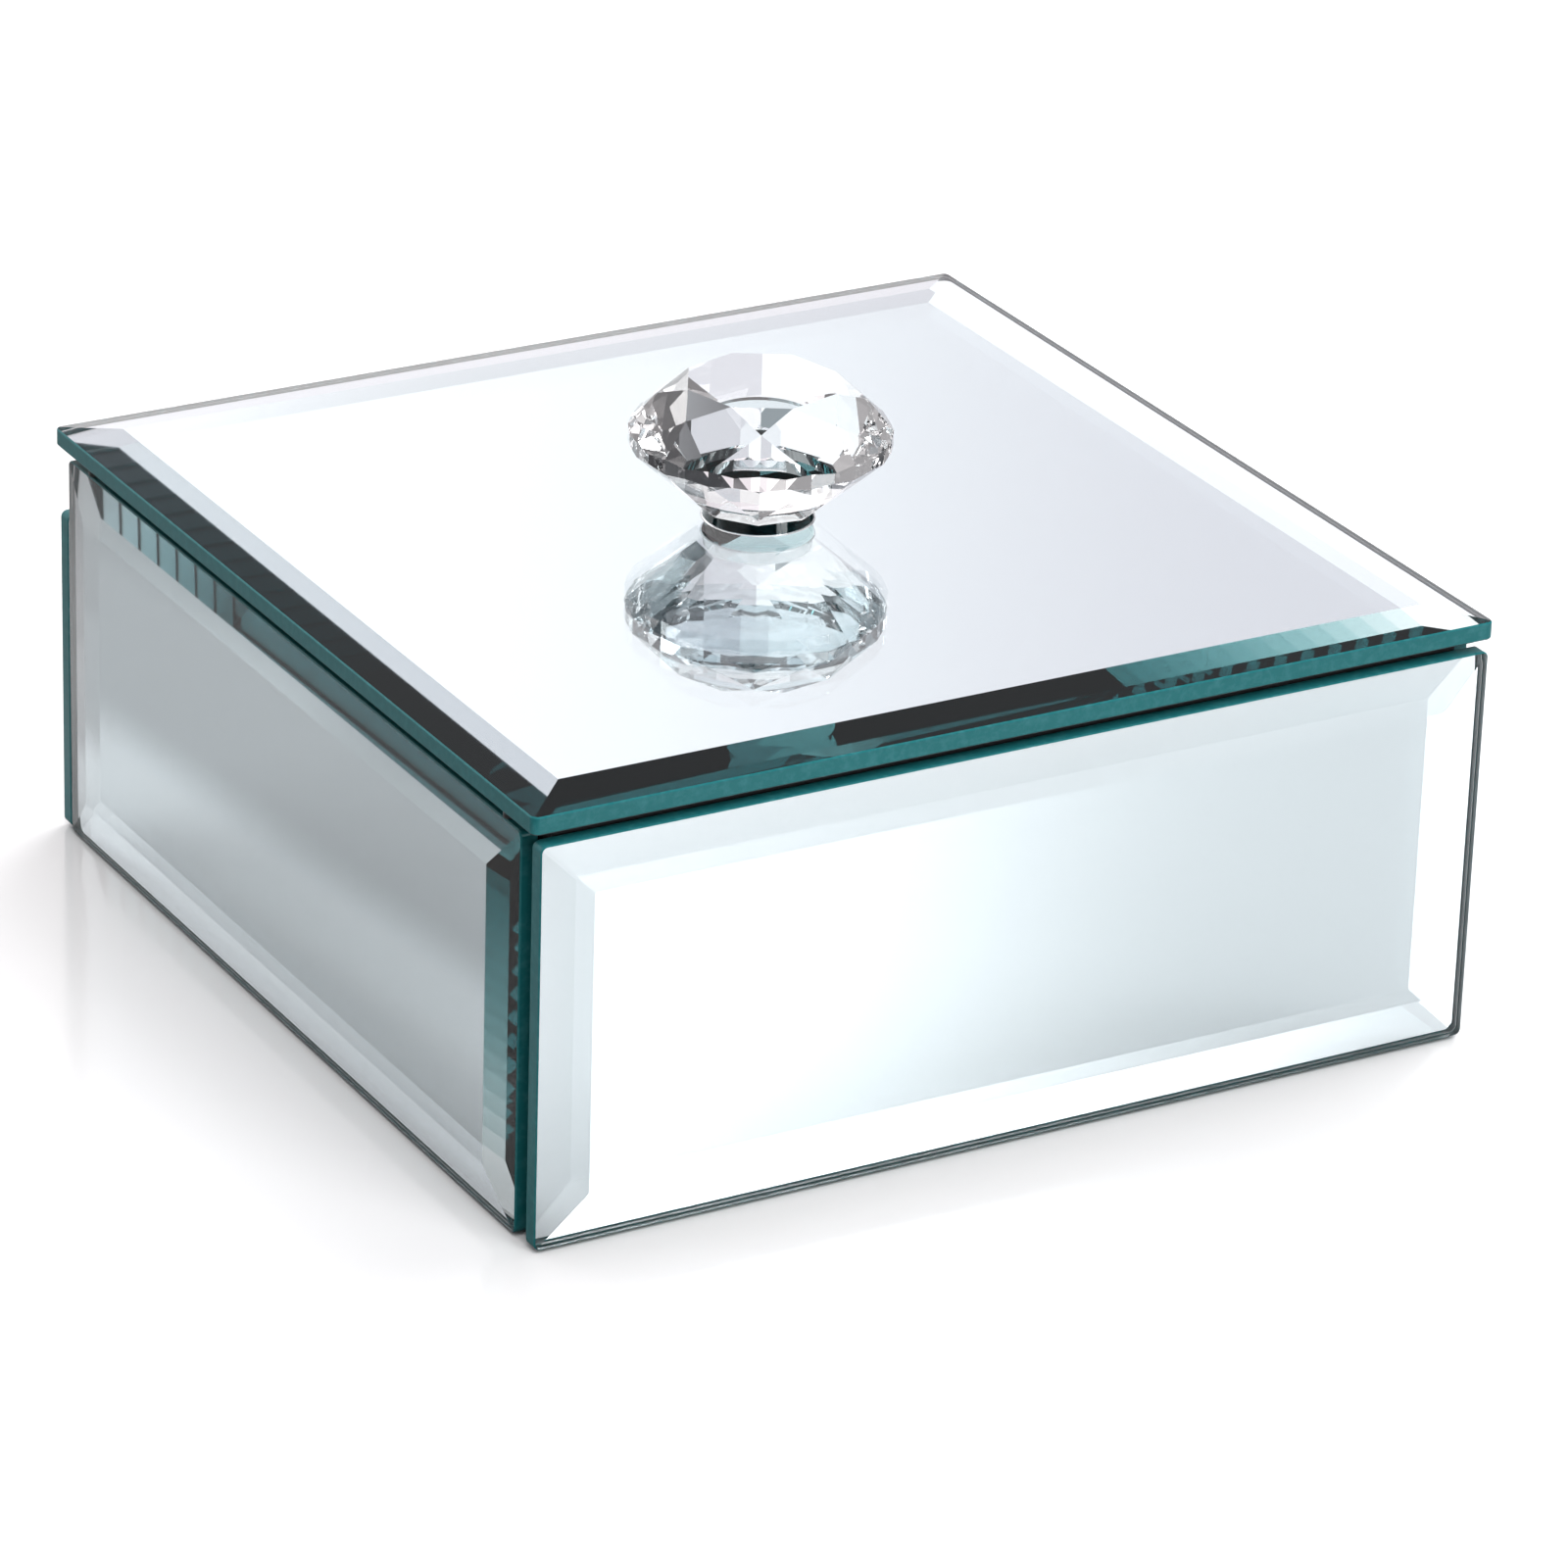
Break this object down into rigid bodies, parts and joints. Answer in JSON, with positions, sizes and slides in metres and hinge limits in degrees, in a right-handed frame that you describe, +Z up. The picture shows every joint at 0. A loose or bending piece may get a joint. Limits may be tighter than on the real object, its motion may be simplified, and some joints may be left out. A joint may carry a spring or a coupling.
{
  "type": "trinket box",
  "caption": "Square mirrored trinket box with bevelled glass sides, a hinged bevelled mirror lid, a cut crystal knob and a velvet lining.",
  "frame": {"origin": "centre of the footprint, on the surface the box stands on", "axes": "+Z up; -Y out of the front; +X to the right seen from the front; the lid is hinged along the back, at +Y"},
  "size_m": [0.1204, 0.1224, 0.0683],
  "materials": {
    "mirror_glass": "polished back-silvered glass with ground bevels",
    "crystal": "polished and faceted",
    "clear_adhesive": "clear cured adhesive",
    "clear_bumper": "clear soft plastic",
    "black_board": "fibreboard sprayed matt black",
    "foam_tape": "matt foam",
    "velvet": "short-pile velvet",
    "felt": "pressed felt",
    "hinge_metal": "bright nickel plate"
  },
  "bodies": {
    "box": {"front_pane": "mirror_glass", "back_pane": "mirror_glass", "left_pane": "mirror_glass", "right_pane": "mirror_glass", "front_tape": "foam_tape", "back_tape": "foam_tape", "left_tape": "foam_tape", "right_tape": "foam_tape", "front_board": "black_board", "back_board": "black_board", "left_board": "black_board", "right_board": "black_board", "base_board": "black_board", "floor_pad": "velvet", "front_liner": "velvet", "back_liner": "velvet", "left_liner": "velvet", "right_liner": "velvet", "base_felt": "felt", "left_hinge_box_leaf": "hinge_metal", "right_hinge_box_leaf": "hinge_metal", "left_hinge_pin": "hinge_metal", "right_hinge_pin": "hinge_metal", "box_leaf_screws": "hinge_metal", "bumper_dots": "clear_bumper"},
    "lid": {"lid_pane": "mirror_glass", "lid_tape": "foam_tape", "lid_board": "black_board", "lid_pad": "velvet", "crystal_knob": "crystal", "knob_glue": "clear_adhesive", "left_hinge_lid_leaf": "hinge_metal", "right_hinge_lid_leaf": "hinge_metal", "lid_leaf_screws": "hinge_metal"}
  },
  "joints": [
    {"name": "lid_hinge", "type": "hinge", "parent": "box", "child": "lid", "pos_m": [0, 0.0594, 0.0439], "axis": [-1, 0, 0], "range_deg": [0, 100]}
  ]
}
